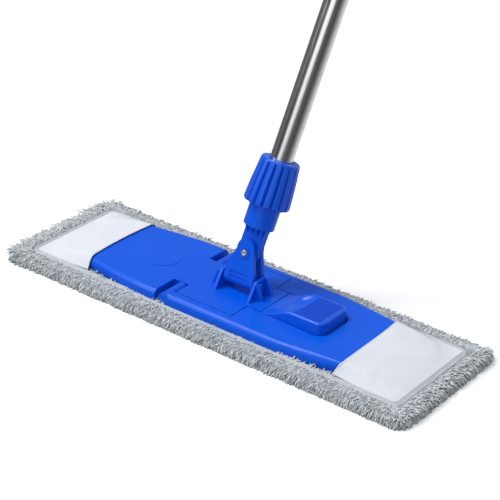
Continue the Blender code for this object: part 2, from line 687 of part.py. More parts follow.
def make_hanging_cap(look, parent):
    """The end cap: a plug in the tube, a flange, and a flattened eye with a hanging hole."""
    plug = TUBE_RADIUS - TUBE_WALL - 0.3 * MM
    brim = TUBE_RADIUS + 2.3 * MM
    end = HANDLE_END - 12 * MM
    profile = [(0, end - 26 * MM), (plug - 1 * MM, end - 26 * MM), (plug, end - 24 * MM),
               (plug, end + 0.3 * MM), (brim, end + 0.3 * MM), (brim, end + 8 * MM)]
    for i in range(1, 7):
        angle = radians(90 * i / 6)
        profile.append((brim * cos(angle) if i < 6 else 0, end + 8 * MM + 30 * MM * sin(angle)))
    cap = turned("hanging_cap", profile, 32)
    waist = box("cap_front", (-20 * MM, -20 * MM, end + 10 * MM), (20 * MM, -5 * MM, end + 60 * MM))
    back = box("cap_back", (-20 * MM, 5 * MM, end + 10 * MM), (20 * MM, 20 * MM, end + 60 * MM))
    middle = end + 20 * MM
    half = HOLE_WIDTH / 2
    hole_outline = (arc((0, middle + 3 * MM), half, 0, 180, 8) + arc((0, middle - 3 * MM), half, 180, 360, 8))
    hole = side_prism("hanging_hole", hole_outline, -20 * MM, 20 * MM)
    cut(cap, [waist, back, hole])
    finish_part(cap, look, parent)


def pad_section(name, x0, x1, look, parent):
    """A slice of the pad: a flat core with the pile standing up round its rim."""
    half_length = PAD_LENGTH / 2
    half_width = PAD_WIDTH / 2
    plan = rounded_rectangle(-half_length, half_length, -half_width, half_width, PAD_CORNER)
    pad = prism(name, plan, 0, PILE_TOP)
    low = (-INNER_LENGTH / 2, -INNER_WIDTH / 2, PAD_TOP)
    high = (INNER_LENGTH / 2, INNER_WIDTH / 2, PILE_TOP + 5 * MM)
    cut(pad, [box(f"{name}_inner", low, high)])
    slab = box(f"{name}_slice", (x0, -100 * MM, -5 * MM), (x1, 100 * MM, 40 * MM))
    combine(pad, [slab], "INTERSECT")
    finish_part(pad, look, parent)


def pocket(name, direction, look, parent):
    """A cloth pocket drawn over a wing's end, open towards the middle of the mop."""
    cloth = 1.2 * MM
    mouth = 148 * MM
    end = INNER_LENGTH / 2 - 0.4 * MM
    gap = 0.35 * MM
    sheet = pocket_block(f"{name}", mouth, end, 53 * MM, gap + cloth, WING_END + 4.5 * MM, 0)
    room = pocket_block(f"{name}_room", mouth - 5 * MM, end - cloth - 5 * MM, 51.6 * MM, gap,
                        WING_END + 1.2 * MM, 3 * MM)
    for item in (sheet, room):
        item.data.transform(Matrix.Rotation(0 if direction > 0 else pi, 4, "Z"))
    cut(sheet, [room])
    finish_part(sheet, look, parent)


def pocket_block(name, mouth, end, half_width, lift, top_end, drop):
    """A low hipped block: full size at the pad, drawn in to the wing's outline and slope at the top."""
    base = PAD_TOP + PAD_GAP - drop
    top_mouth = wing_half_width(mouth) + (half_width - 51.6 * MM) + 0.6 * MM
    top_tip = WING_TIP_HALF_WIDTH + (half_width - 51.6 * MM) + 0.8 * MM
    bm = bmesh.new()
    low = [(mouth, -half_width), (end, -half_width + 1 * MM), (end, half_width - 1 * MM), (mouth, half_width)]
    high = [(mouth, -top_mouth), (top_end, -top_tip), (top_end, top_tip), (mouth, top_mouth)]
    bottom = [bm.verts.new((x, y, base)) for x, y in low]
    upper = [bm.verts.new((x, y, slope_line(x) + lift)) for x, y in high]
    bm.faces.new(bottom[::-1])
    bm.faces.new(upper)
    for i in range(4):
        j = (i + 1) % 4
        bm.faces.new((bottom[i], bottom[j], upper[j], upper[i]))
    return mesh_object(name, bm)


def guide(name, location, parent=None):
    """An empty that marks a joint's axis."""
    made = bpy.data.objects.new(name, None)
    bpy.context.scene.collection.objects.link(made)
    made.location = location
    made.parent = parent
    return made


def build():
    clear_scene()
    blue = blue_plastic()
    chrome = polished_steel()
    zinc = zinc_steel()
    nylon = clear_nylon()
    pile = grey_pile()
    cloth = white_cloth()

    make_left_wing(blue)
    make_right_wing(blue, None)
    make_hinge_pins(zinc, None)
    make_pedal(blue, None)
    make_pedal_pin(zinc, None)
    make_pedal_spring(spring_steel(), None)
    make_yoke_pin(zinc, None)

    yoke_frame = guide("yoke_axis", (JOINT_X, 0, YOKE_PIN_Z))
    yoke_frame.rotation_euler.x = -YOKE_TILT
    make_yoke(blue, yoke_frame)
    make_joint_fasteners(zinc, nylon, yoke_frame)

    handle_frame = guide("handle_axis", (0, 0, BOLT_HEIGHT), yoke_frame)
    handle_frame.rotation_euler.y = HANDLE_SWING
    make_socket(blue, handle_frame)
    make_clamp_nut(blue, handle_frame)
    make_tube(chrome, handle_frame)
    make_tube_plug(blue, handle_frame)
    make_grip(blue, handle_frame)
    make_hanging_cap(blue, handle_frame)

    half = PAD_LENGTH / 2 + 10 * MM
    left_of_bend = FOLD_X - BEND_HALF
    right_of_bend = FOLD_X + BEND_HALF
    pad_section("pad_left", -half, left_of_bend - PAD_GAP / 2, pile, None)
    pad_section("pad_middle", left_of_bend + PAD_GAP / 2, right_of_bend - PAD_GAP / 2, pile, None)
    pad_section("pad_right", right_of_bend + PAD_GAP / 2, half, pile, None)
    pocket("pocket_left", -1, cloth, None)
    pocket("pocket_right", 1, cloth, None)


build()
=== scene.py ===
import math

import bmesh
import bpy
import numpy as np
from mathutils import Matrix, Vector, noise


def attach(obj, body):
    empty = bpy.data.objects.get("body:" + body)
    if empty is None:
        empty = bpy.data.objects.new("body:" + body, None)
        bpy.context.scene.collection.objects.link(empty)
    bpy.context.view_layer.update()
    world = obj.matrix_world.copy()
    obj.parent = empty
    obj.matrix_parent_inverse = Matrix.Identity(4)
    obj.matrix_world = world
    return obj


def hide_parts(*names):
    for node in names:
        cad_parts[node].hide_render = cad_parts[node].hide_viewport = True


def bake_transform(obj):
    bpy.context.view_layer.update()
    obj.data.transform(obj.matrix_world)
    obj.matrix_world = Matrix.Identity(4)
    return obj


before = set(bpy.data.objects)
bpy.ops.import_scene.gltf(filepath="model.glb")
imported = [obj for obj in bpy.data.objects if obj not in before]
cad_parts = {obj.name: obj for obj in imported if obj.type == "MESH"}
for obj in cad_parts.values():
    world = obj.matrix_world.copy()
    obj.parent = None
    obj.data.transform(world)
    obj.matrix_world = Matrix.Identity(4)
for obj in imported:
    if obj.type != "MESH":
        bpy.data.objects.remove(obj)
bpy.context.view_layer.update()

# ---------------------------------------------------------------- folding frame
# The two halves of the plate that the mop cloth is stretched over: each is one
# blue polypropylene moulding with a rounded rim, knuckles at the fold line and
# ribs underneath. Two pins through the knuckles hold them together.


def select_only(piece):
    """Makes one piece the active and only selected object."""
    if bpy.context.mode != "OBJECT":
        bpy.ops.object.mode_set(mode="OBJECT")
    bpy.ops.object.select_all(action="DESELECT")
    piece.select_set(True)
    bpy.context.view_layer.objects.active = piece


def finer_copy(node, name, edge=0.0003, angle=32.0, smooth=38.0):
    """Copies a CAD node, merges it and rounds its sharp edges."""
    piece = bpy.data.objects.new(name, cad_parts[node].data.copy())
    piece.data.name = name
    piece.data.materials.clear()
    bpy.context.scene.collection.objects.link(piece)
    select_only(piece)
    bpy.ops.object.mode_set(mode="EDIT")
    bpy.ops.mesh.select_all(action="SELECT")
    bpy.ops.mesh.remove_doubles(threshold=0.000008)
    bpy.ops.mesh.dissolve_limited(angle_limit=math.radians(1.0))
    bpy.ops.mesh.normals_make_consistent(inside=False)
    bpy.ops.object.mode_set(mode="OBJECT")
    if edge:
        rounding = piece.modifiers.new("edges", "BEVEL")
        rounding.width = edge
        rounding.segments = 2
        rounding.limit_method = "ANGLE"
        rounding.angle_limit = math.radians(angle)
        bpy.ops.object.modifier_apply(modifier="edges")
    bpy.ops.object.shade_smooth_by_angle(angle=math.radians(smooth))
    flats = piece.modifiers.new("flats", "WEIGHTED_NORMAL")
    flats.keep_sharp = True
    flats.weight = 90
    bpy.ops.object.modifier_apply(modifier="flats")
    return piece


def finish(piece, body, node, material):
    """Gives a copied piece its finish and lets it stand for its CAD node."""
    piece.data.materials.append(material)
    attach(piece, body)
    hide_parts(node)


def new_group(name, inputs, outputs):
    """Starts a node group with float or colour sockets."""
    tree = bpy.data.node_groups.new(name, "ShaderNodeTree")
    for label, kind, value in inputs:
        tree.interface.new_socket(label, in_out="INPUT", socket_type=kind).default_value = value
    for label, kind in outputs:
        tree.interface.new_socket(label, in_out="OUTPUT", socket_type=kind)
    return tree, tree.nodes.new("NodeGroupInput"), tree.nodes.new("NodeGroupOutput")


def noise_node(tree, coordinates, scale, detail=3.0, stretch=None):
    """A noise texture read in object space, optionally stretched."""
    texture = tree.nodes.new("ShaderNodeTexNoise")
    texture.inputs["Scale"].default_value = scale
    texture.inputs["Detail"].default_value = detail
    if stretch:
        mapping = tree.nodes.new("ShaderNodeMapping")
        mapping.inputs["Scale"].default_value = stretch
        tree.links.new(coordinates, mapping.inputs["Vector"])
        coordinates = mapping.outputs["Vector"]
    tree.links.new(coordinates, texture.inputs["Vector"])
    return texture.outputs["Fac"]


def ramp(tree, value, low, high, first, second):
    """Maps a value range linearly onto another one."""
    node = tree.nodes.new("ShaderNodeMapRange")
    node.inputs["From Min"].default_value = low
    node.inputs["From Max"].default_value = high
    node.inputs["To Min"].default_value = first
    node.inputs["To Max"].default_value = second
    tree.links.new(value, node.inputs["Value"])
    return node.outputs["Result"]


def mix_colour(tree, factor, first, second, blend="MIX"):
    """Mixes two colours, each a socket or a plain value."""
    node = tree.nodes.new("ShaderNodeMix")
    node.data_type = "RGBA"
    node.blend_type = blend
    for socket, value in ((node.inputs[0], factor), (node.inputs[6], first), (node.inputs[7], second)):
        if isinstance(value, bpy.types.NodeSocket):
            tree.links.new(value, socket)
        else:
            socket.default_value = value
    return node.outputs[2]


def maths(tree, operation, first, second=0.0):
    """One Math node on sockets or plain numbers."""
    node = tree.nodes.new("ShaderNodeMath")
    node.operation = operation
    for socket, value in zip(node.inputs, (first, second)):
        if isinstance(value, bpy.types.NodeSocket):
            tree.links.new(value, socket)
        else:
            socket.default_value = value
    return node.outputs[0]


def moulded_surface():
    """Flow marks, pigment drift, spark grain and rub marks of moulded plastic."""
    tree, given, out = new_group(
        "moulded surface",
        [("Colour", "NodeSocketColor", (0.5, 0.5, 0.5, 1)),
         ("Rub colour", "NodeSocketColor", (0.6, 0.6, 0.6, 1))],
        [("Colour", "NodeSocketColor"), ("Roughness", "NodeSocketFloat"), ("Height", "NodeSocketFloat")],
    )
    place = tree.nodes.new("ShaderNodeTexCoord").outputs["Object"]
    drift = noise_node(tree, place, 22.0, 4.0)
    grain = noise_node(tree, place, 2600.0, 2.0)
    scuff = noise_node(tree, place, 180.0, 6.0, (1.0, 0.12, 1.0))
    fine = noise_node(tree, place, 700.0, 3.0)
    shade = mix_colour(tree, ramp(tree, drift, 0.3, 0.7, 0.0, 0.35), given.outputs["Colour"],
                       given.outputs["Rub colour"])
    marks = ramp(tree, scuff, 0.62, 0.74, 0.0, 0.16)
    colour = mix_colour(tree, marks, shade, given.outputs["Rub colour"])
    rubbed = ramp(tree, scuff, 0.55, 0.75, 0.0, 0.06)
    rough = maths(tree, "ADD", ramp(tree, fine, 0.3, 0.7, 0.27, 0.33), rubbed)
    height = maths(tree, "ADD", maths(tree, "MULTIPLY", grain, 0.6), maths(tree, "MULTIPLY", fine, 0.5))
    tree.links.new(colour, out.inputs["Colour"])
    tree.links.new(rough, out.inputs["Roughness"])
    tree.links.new(height, out.inputs["Height"])
    return tree


MOULDED = moulded_surface()


def shader(name):
    """A new material with its Principled shader."""
    material = bpy.data.materials.new(name)
    material.use_nodes = True
    return material, material.node_tree, material.node_tree.nodes["Principled BSDF"]


def add_group(tree, group):
    """Puts a node group into a material."""
    node = tree.nodes.new("ShaderNodeGroup")
    node.node_tree = group
    return node


def add_bump(tree, surface, height, strength, distance):
    """Feeds a height into the shader's normal."""
    bump = tree.nodes.new("ShaderNodeBump")
    bump.inputs["Strength"].default_value = strength
    bump.inputs["Distance"].default_value = distance
    tree.links.new(height, bump.inputs["Height"])
    tree.links.new(bump.outputs["Normal"], surface.inputs["Normal"])


def moulded_plastic(name, colour, rubbed, specular=0.24):
    """Moulded polypropylene in one pigment."""
    material, tree, surface = shader(name)
    group = add_group(tree, MOULDED)
    group.inputs["Colour"].default_value = colour
    group.inputs["Rub colour"].default_value = rubbed
    tree.links.new(group.outputs["Colour"], surface.inputs["Base Color"])
    tree.links.new(group.outputs["Roughness"], surface.inputs["Roughness"])
    add_bump(tree, surface, group.outputs["Height"], 0.07, 0.00005)
    surface.inputs["Specular IOR Level"].default_value = specular
    return material


BLUE = moulded_plastic("frame blue", (0.0, 0.084, 0.655, 1), (0.003, 0.108, 0.70, 1))

for node, body in (("left_wing", "left_half"), ("right_wing", "right_half")):
    wing = finer_copy(node, node + "_moulding", edge=0.0004)
    finish(wing, body, node, BLUE)

# ---------------------------------------------------------------- hinge pins
# Four zinc-plated pins of drawn steel: two pressed through the knuckles at the
# fold line, one under the pedal and one through the posts and the yoke's foot.


def drawn_metal():
    """Drawing lines and a little tarnish on round steel parts."""
    tree, given, out = new_group(
        "drawn metal",
        [("Colour", "NodeSocketColor", (0.6, 0.6, 0.6, 1)),
         ("Dull colour", "NodeSocketColor", (0.4, 0.4, 0.4, 1)),
         ("Base roughness", "NodeSocketFloat", 0.25)],
        [("Colour", "NodeSocketColor"), ("Roughness", "NodeSocketFloat"), ("Height", "NodeSocketFloat")],
    )
    place = tree.nodes.new("ShaderNodeTexCoord").outputs["Object"]
    cloud = noise_node(tree, place, 55.0, 5.0)
    lines = noise_node(tree, place, 900.0, 3.0, (1.0, 0.05, 0.02))
    spots = noise_node(tree, place, 1400.0, 2.0)
    colour = mix_colour(tree, ramp(tree, cloud, 0.35, 0.75, 0.0, 0.6), given.outputs["Colour"],
                        given.outputs["Dull colour"])
    tarnish = ramp(tree, cloud, 0.4, 0.8, 0.0, 0.06)
    wobble = maths(tree, "ADD", ramp(tree, lines, 0.3, 0.7, -0.04, 0.05), tarnish)
    rough = maths(tree, "ADD", given.outputs["Base roughness"], wobble)
    height = maths(tree, "ADD", lines, maths(tree, "MULTIPLY", spots, 0.3))
    tree.links.new(colour, out.inputs["Colour"])
    tree.links.new(rough, out.inputs["Roughness"])
    tree.links.new(height, out.inputs["Height"])
    return tree


DRAWN = drawn_metal()


def metal(name, colour, dull, roughness):
    """A bare or plated steel finish."""
    material, tree, surface = shader(name)
    group = add_group(tree, DRAWN)
    group.inputs["Colour"].default_value = colour
    group.inputs["Dull colour"].default_value = dull
    group.inputs["Base roughness"].default_value = roughness
    tree.links.new(group.outputs["Colour"], surface.inputs["Base Color"])
    tree.links.new(group.outputs["Roughness"], surface.inputs["Roughness"])
    add_bump(tree, surface, group.outputs["Height"], 0.2, 0.00002)
    surface.inputs["Metallic"].default_value = 1.0
    return material


ZINC = metal("zinc plate", (0.78, 0.79, 0.80, 1), (0.55, 0.56, 0.58, 1), 0.28)

for node, body in (("hinge_pin_front", "right_half"), ("hinge_pin_rear", "right_half"),
                   ("pedal_pin", "right_half"), ("yoke_pin", "left_half")):
    pin = finer_copy(node, node + "_steel", edge=0.0002)
    finish(pin, body, node, ZINC)

# ---------------------------------------------------------------- foot pedal
# The latch that the foot presses to let the frame fold: a blue moulded ramp
# with a hollow for the shoe and a ribbed grip, lifted by a steel torsion spring
# on its pin. Its mould is polished, so it is a little glossier than the frame.

PEDAL_START, PEDAL_END = 0.0420, 0.1100
PEDAL_HALF = 0.0224
PEDAL_CORNER = 0.008
PEDAL_TOP = 0.0310
PEDAL_FOOT = 0.0200
PEDAL_SKIRT = 0.014
PEDAL_WALL = 0.0022
PEDAL_PIN_X, PEDAL_PIN_Z = 0.060, 0.013
HOLLOW_X, HOLLOW_Y = 0.0715, 0.0055
HOLLOW_REACH_X, HOLLOW_REACH_Y = 0.0125, 0.0145
HOLLOW_DEPTH = 0.0045
TREAD_FIRST, TREAD_STEP, TREAD_RIBS = 0.0785, 0.0028, 10


def ease(share):
    """A soft step from 0 to 1."""
    share = min(1.0, max(0.0, share))
    return share * share * (3 - 2 * share)


def pedal_height(x, y):
    """The ramp, the hollow for the shoe, the ribs and the rounded rim."""
    height = PEDAL_FOOT + (PEDAL_TOP - PEDAL_FOOT) * ease((x - PEDAL_START - 0.002) / 0.031)
    hollow = ((x - HOLLOW_X) / HOLLOW_REACH_X) ** 2 + ((y - HOLLOW_Y) / HOLLOW_REACH_Y) ** 2
    height -= HOLLOW_DEPTH * ease(1.15 - hollow) * ease((TREAD_FIRST - x) / 0.0020)
    ahead, aside = x - PEDAL_END + PEDAL_CORNER, abs(y) - PEDAL_HALF + PEDAL_CORNER
    if ahead > 0 and aside > 0:
        inside = PEDAL_CORNER - math.hypot(ahead, aside)
    else:
        inside = min(PEDAL_END - x, PEDAL_HALF - abs(y))
    last = TREAD_FIRST + TREAD_STEP * (TREAD_RIBS - 0.5)
    if TREAD_FIRST - TREAD_STEP / 2 < x < last:
        wave = 0.5 + 0.5 * math.cos(2 * math.pi * (x - TREAD_FIRST) / TREAD_STEP)
        height += (0.0004 - 0.0017 * (1 - wave) ** 2) * ease((inside - 0.0022) / 0.0010)
    rim = 0.0022 * ease((x - PEDAL_START) / 0.02) + 0.0003
    if inside < rim:
        height -= rim - math.sqrt(max(0.0, rim ** 2 - (rim - max(inside, 0.0)) ** 2))
    return height


def new_piece(name, verts, faces):
    """Links and selects a mesh made from its points and faces."""
    mesh = bpy.data.meshes.new(name)
    mesh.from_pydata(verts, [], faces)
    piece = bpy.data.objects.new(name, mesh)
    bpy.context.scene.collection.objects.link(piece)
    select_only(piece)
    return piece


def pedal_skin(name, along=204, across=90):
    """The pedal as a thin-walled moulding: its tread and the skirt that hangs from it."""
    verts = []
    for i in range(along + 1):
        x = PEDAL_START + (PEDAL_END - PEDAL_START) * i / along
        bend = max(0.0, x - PEDAL_END + PEDAL_CORNER)
        wide = PEDAL_HALF - PEDAL_CORNER + math.sqrt(max(0.0, PEDAL_CORNER ** 2 - bend ** 2))
        for j in range(across + 1):
            y = wide * math.sin(math.pi / 2 * (2.0 * j / across - 1.0) * 0.9) / math.sin(math.pi / 2 * 0.9)
            verts.append((x, y, pedal_height(x, y)))
    row = across + 1
    faces = [(i * row + j, (i + 1) * row + j, (i + 1) * row + j + 1, i * row + j + 1)
             for i in range(along) for j in range(across)]
    piece = new_piece(name, verts, faces)
    bpy.ops.object.mode_set(mode="EDIT")
    bpy.ops.mesh.select_mode(type="EDGE")
    bpy.ops.mesh.select_all(action="DESELECT")
    bpy.ops.mesh.select_non_manifold(extend=False, use_wire=False, use_boundary=True,
                                     use_multi_face=False, use_non_contiguous=False, use_verts=False)
    bpy.ops.mesh.extrude_edges_move()
    skirt = bmesh.from_edit_mesh(piece.data)
    for vert in skirt.verts:
        if vert.select:
            vert.co.z = PEDAL_SKIRT + 0.002 * max(0.0, 1 - (vert.co.x - PEDAL_START) / 0.006)
    bmesh.update_edit_mesh(piece.data)
    bpy.ops.object.mode_set(mode="OBJECT")
    wall = piece.modifiers.new("wall", "SOLIDIFY")
    wall.thickness = PEDAL_WALL
    wall.offset = -1.0
    bpy.ops.object.modifier_apply(modifier="wall")
    bpy.ops.object.shade_smooth_by_angle(angle=math.radians(46))
    return piece


pedal = pedal_skin("foot_pedal_moulding")
bpy.ops.object.select_all(action="DESELECT")
bpy.ops.mesh.primitive_cylinder_add(vertices=40, radius=0.0048, depth=0.0436,
                                    location=(PEDAL_PIN_X, 0, PEDAL_PIN_Z),
                                    rotation=(math.pi / 2, 0, 0))
hub = bpy.context.active_object
bpy.ops.object.transform_apply(location=True, rotation=True, scale=True)
rounding = hub.modifiers.new("edges", "BEVEL")
rounding.width = 0.0004
rounding.segments = 2
bpy.ops.object.modifier_apply(modifier="edges")
bpy.ops.object.shade_smooth_by_angle(angle=math.radians(40))
pedal.select_set(True)
bpy.context.view_layer.objects.active = pedal
bpy.ops.object.join()

GLOSSY_BLUE = moulded_plastic("pedal blue", (0.0, 0.086, 0.66, 1), (0.003, 0.108, 0.70, 1),
                              specular=0.42)
finish(pedal, "pedal", "foot_pedal", GLOSSY_BLUE)

SPRING = metal("spring steel", (0.42, 0.42, 0.44, 1), (0.26, 0.26, 0.28, 1), 0.34)
spring = finer_copy("pedal_spring", "pedal_spring_coil", edge=0.0)
finish(spring, "right_half", "pedal_spring", SPRING)

# ---------------------------------------------------------------- tilting yoke
# The blue fork that tips to and fro on a pin between the posts of the frame
# and carries the handle's bolt, with its zinc bolt and nut.

BOLT_LINE = Vector((0.0, 0.9455186, -0.3255682))
yoke = finer_copy("yoke", "yoke_moulding", edge=0.0005)
finish(yoke, "yoke", "yoke", BLUE)
for node in ("joint_bolt", "joint_nut"):
    fixing = finer_copy(node, node + "_zinc", edge=0.0002)
    if node == "joint_bolt":
        facing = -BOLT_LINE
        bpy.ops.object.mode_set(mode="EDIT")
        bpy.ops.mesh.select_mode(type="FACE")
        head = bmesh.from_edit_mesh(fixing.data)
        outermost = max(face.calc_center_median().dot(facing) for face in head.faces)
        for face in head.faces:
            at_end = face.calc_center_median().dot(facing) > outermost - 0.0003
            face.select = at_end and face.normal.dot(facing) > 0.99
        bmesh.update_edit_mesh(fixing.data)
        bpy.ops.mesh.inset(thickness=0.0010, depth=0.0)
        bpy.ops.mesh.inset(thickness=0.0003, depth=-0.0009)
        bpy.ops.object.mode_set(mode="OBJECT")
    finish(fixing, "yoke", node, ZINC)

# ---------------------------------------------------------------- handle socket
# The blue collar at the foot of the handle with its eye for the joint bolt,
# the nylon friction washers, and the lobed nut that clamps the tube.

NYLON = moulded_plastic("natural nylon", (0.72, 0.71, 0.66, 1), (0.80, 0.79, 0.75, 1))
socket = finer_copy("handle_socket", "handle_socket_moulding", edge=0.0004)
finish(socket, "handle", "handle_socket", BLUE)
for node in ("friction_washer_front", "friction_washer_rear"):
    washer = finer_copy(node, node + "_nylon", edge=0.0)
    finish(washer, "handle", node, NYLON)

NUT_LOBES = 16
NUT_GROOVE = 3.0
NUT_OUTSIDE = [(50.0, 21.7, 0.95), (50.5, 22.2, 1.0), (53.0, 22.4, 1.0), (60.0, 21.9, 1.0),
               (66.0, 21.5, 1.0), (72.0, 21.0, 1.0), (79.0, 20.2, 1.0), (86.0, 19.5, 0.96),
               (89.5, 19.1, 0.85), (91.3, 18.9, 0.45), (92.2, 18.7, 0.1), (93.2, 18.4, 0.0),
               (93.8, 17.9, 0.0), (94.0, 17.2, 0.0)]
NUT_INSIDE = [(94.0, 12.0), (93.6, 11.5), (91.0, 11.4), (90.0, 12.9), (72.0, 14.2),
              (55.0, 14.2), (55.0, 15.5), (50.3, 15.5), (50.0, 15.9)]
HANDLE_FOOT = Vector((0.0030, 0.0087903, 0.0555290))
HANDLE_LINE = Vector((0.1045285, 0.3237847, 0.9403389))


def close_skin(smooth):
    """Turns the selected piece's faces outwards and smooths its gentle edges."""
    bpy.ops.object.mode_set(mode="EDIT")
    bpy.ops.mesh.select_all(action="SELECT")
    bpy.ops.mesh.normals_make_consistent(inside=False)
    bpy.ops.object.mode_set(mode="OBJECT")
    bpy.ops.object.shade_smooth_by_angle(angle=math.radians(smooth))


def lobed_nut(name, steps=20):
    """A closed turned form about the handle's line, in mm, with rounded lobes and narrow grooves."""
    around = NUT_LOBES * steps
    side_line = BOLT_LINE.cross(HANDLE_LINE).normalized()
    rings = NUT_OUTSIDE + [(height, radius, 0.0) for height, radius in NUT_INSIDE]
    verts = []
    for height, radius, depth in rings:
        for i in range(around):
            angle = 2 * math.pi * i / around
            lobe = ease(1.35 * abs(math.sin(angle * NUT_LOBES / 2)))
            reach = (radius - NUT_GROOVE * depth * (1 - lobe)) / 1000
            place = HANDLE_FOOT + HANDLE_LINE * height / 1000
            place = place + side_line * reach * math.cos(angle) + BOLT_LINE * reach * math.sin(angle)
            verts.append(tuple(place))
    faces = []
    for ring in range(len(rings)):
        after = (ring + 1) % len(rings)
        for i in range(around):
            j = (i + 1) % around
            faces.append((ring * around + i, ring * around + j, after * around + j, after * around + i))
    piece = new_piece(name, verts, faces)
    close_skin(50)
    return piece


nut = lobed_nut("clamp_nut_moulding")
finish(nut, "nut", "clamp_nut", GLOSSY_BLUE)

# ---------------------------------------------------------------- handle
# A polished steel tube with a plug in its foot, a blue grip sleeve and a
# hanging cap with a hole at the top.

TUBE = metal("polished tube", (0.80, 0.81, 0.83, 1), (0.66, 0.67, 0.69, 1), 0.13)
tube = finer_copy("handle_tube", "handle_tube_steel", edge=0.0)
finish(tube, "handle", "handle_tube", TUBE)
for node in ("tube_plug", "grip_sleeve", "hanging_cap"):
    fitting = finer_copy(node, node + "_moulding", edge=0.0004)
    finish(fitting, "handle", node, BLUE)

# ---------------------------------------------------------------- mop pad
# The thick grey microfibre pad: a foam core in looped cloth, sewn round its
# edge. It is one piece across the fold.

PAD_LENGTH = 0.470
PAD_WIDTH = 0.160
PAD_CORNER = 0.014
CORE_INSET = 0.0035
CORE_TOP = 0.0082
UNDER_FRAME_X, UNDER_FRAME_Y, UNDER_FRAME_TOP = 0.2125, 0.0593, 0.0074
FOLD_START = -0.068
FOLD_END = -0.028


def woven_loops(name, colour, dark, pitch, depth, sheen):
    """Looped or knitted cloth: loops as cells, pile direction as drift; the dark colour is painted shade
    in the gaps between loops, plus random tone.
    """
    material, tree, surface = shader(name)
    place = tree.nodes.new("ShaderNodeTexCoord").outputs["Object"]
    cells = tree.nodes.new("ShaderNodeTexVoronoi")
    cells.feature = "SMOOTH_F1"
    cells.inputs["Scale"].default_value = 1.0 / pitch
    tree.links.new(place, cells.inputs["Vector"])
    distance = cells.outputs["Distance"]
    drift = noise_node(tree, place, 60.0, 4.0)
    fibre = noise_node(tree, place, 2200.0, 4.0)
    patches = ramp(tree, drift, 0.3, 0.7, -0.1, 0.15)
    # painted shade: the colour darkens towards the dark tone in the low gaps between the loops; the drift
    # adds random tone
    shade = maths(tree, "ADD", ramp(tree, distance, 0.15, 0.75, 0.0, 0.8), patches)
    colour_out = mix_colour(tree, shade, colour, dark)
    fuzz = mix_colour(tree, ramp(tree, fibre, 0.35, 0.7, 0.0, 0.35), colour_out, dark)
    tree.links.new(fuzz, surface.inputs["Base Color"])
    height = maths(tree, "SUBTRACT", maths(tree, "MULTIPLY", fibre, 0.25), distance)
    add_bump(tree, surface, height, 0.9, depth)
    surface.inputs["Roughness"].default_value = 0.95
    surface.inputs["Specular IOR Level"].default_value = 0.15
    surface.inputs["Sheen Weight"].default_value = sheen
    surface.inputs["Sheen Roughness"].default_value = 0.5
    return material


# the second colour is the painted shade in the gaps between loops and the random fibre tone
PAD_CLOTH = woven_loops("grey loop cloth", (0.40, 0.43, 0.46, 1), (0.16, 0.175, 0.19, 1),
                        pitch=0.0021, depth=0.0012, sheen=0.25)


def rounded_outline(half_x, half_y, corner, step):
    """Points round a rounded rectangle, with their outward directions."""
    points = []
    for number, (sx, sy) in enumerate(((1, 1), (-1, 1), (-1, -1), (1, -1))):
        centre = Vector((sx * (half_x - corner), sy * (half_y - corner)))
        turns = max(3, int(corner * math.pi / 2 / step))
        for turn in range(turns + 1):
            angle = math.pi / 2 * (number + turn / turns)
            out = Vector((math.cos(angle), math.sin(angle)))
            points.append((centre + corner * out, out))
        after = ((-1, 1), (-1, -1), (1, -1), (1, 1))[number]
        target = Vector((after[0] * (half_x - corner), after[1] * (half_y - corner)))
        target += corner * out
        start = points[-1][0]
        count = max(2, int((target - start).length / step))
        for along in range(1, count):
            points.append((start.lerp(target, along / count), out.copy()))
    return points


bpy.ops.object.select_all(action="DESELECT")
bpy.ops.mesh.primitive_cube_add(size=1.0, location=(0, 0, CORE_TOP / 2 + 0.0003),
                                scale=(PAD_LENGTH - 2 * CORE_INSET, PAD_WIDTH - 2 * CORE_INSET, CORE_TOP))
pad = bpy.context.active_object
pad.name = pad.data.name = "mop_pad"
bpy.ops.object.transform_apply(location=True, rotation=True, scale=True)
bpy.ops.object.mode_set(mode="EDIT")
form = bmesh.from_edit_mesh(pad.data)
for edge in form.edges:
    edge.select = abs(edge.verts[0].co.z - edge.verts[1].co.z) > 0.004
form.select_flush_mode()
bmesh.update_edit_mesh(pad.data)
bpy.ops.mesh.bevel(offset=PAD_CORNER - CORE_INSET, segments=6)
form = bmesh.from_edit_mesh(pad.data)
for edge in form.edges:
    edge.select = abs(edge.verts[0].co.z - edge.verts[1].co.z) < 0.0001
form.select_flush_mode()
bmesh.update_edit_mesh(pad.data)
bpy.ops.mesh.bevel(offset=0.003, segments=3)
bpy.ops.object.mode_set(mode="OBJECT")
grain = pad.modifiers.new("even", "REMESH")
grain.mode = "VOXEL"
grain.voxel_size = 0.0028
bpy.ops.object.modifier_apply(modifier="even")
co = np.zeros(len(pad.data.vertices) * 3)
pad.data.vertices.foreach_get("co", co)
co = co.reshape(-1, 3)
for point in co:
    swell = noise.noise(Vector((point[0] * 55, point[1] * 55, point[2] * 20)))
    side = 1.0 if point[2] > CORE_TOP / 2 else -1.0
    rim = max(abs(point[0]) - UNDER_FRAME_X, abs(point[1]) - UNDER_FRAME_Y)
    if side > 0 and rim < 0:
        point[2] = min(point[2], UNDER_FRAME_TOP) + 0.00015 * swell
    elif side > 0:
        point[2] += 0.0004 * swell + 0.0006 * math.sin(min(1.0, rim / 0.018) * math.pi)
    else:
        point[2] = max(0.0, point[2] - 0.0003 + 0.0004 * swell)
pad.data.vertices.foreach_set("co", co.ravel())
select_only(pad)
bpy.ops.object.shade_smooth()
pad.data.materials.append(PAD_CLOTH)
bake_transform(pad)
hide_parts("pad_left", "pad_middle", "pad_right")

# ---------------------------------------------------------------- pad binding
# A flat grey tape sewn down round the pad between the pockets and the pile,
# with two rows of stitching that sink into it.

BINDING_HALF_X, BINDING_HALF_Y = 0.2115, 0.0545
BINDING_CORNER = 0.0035


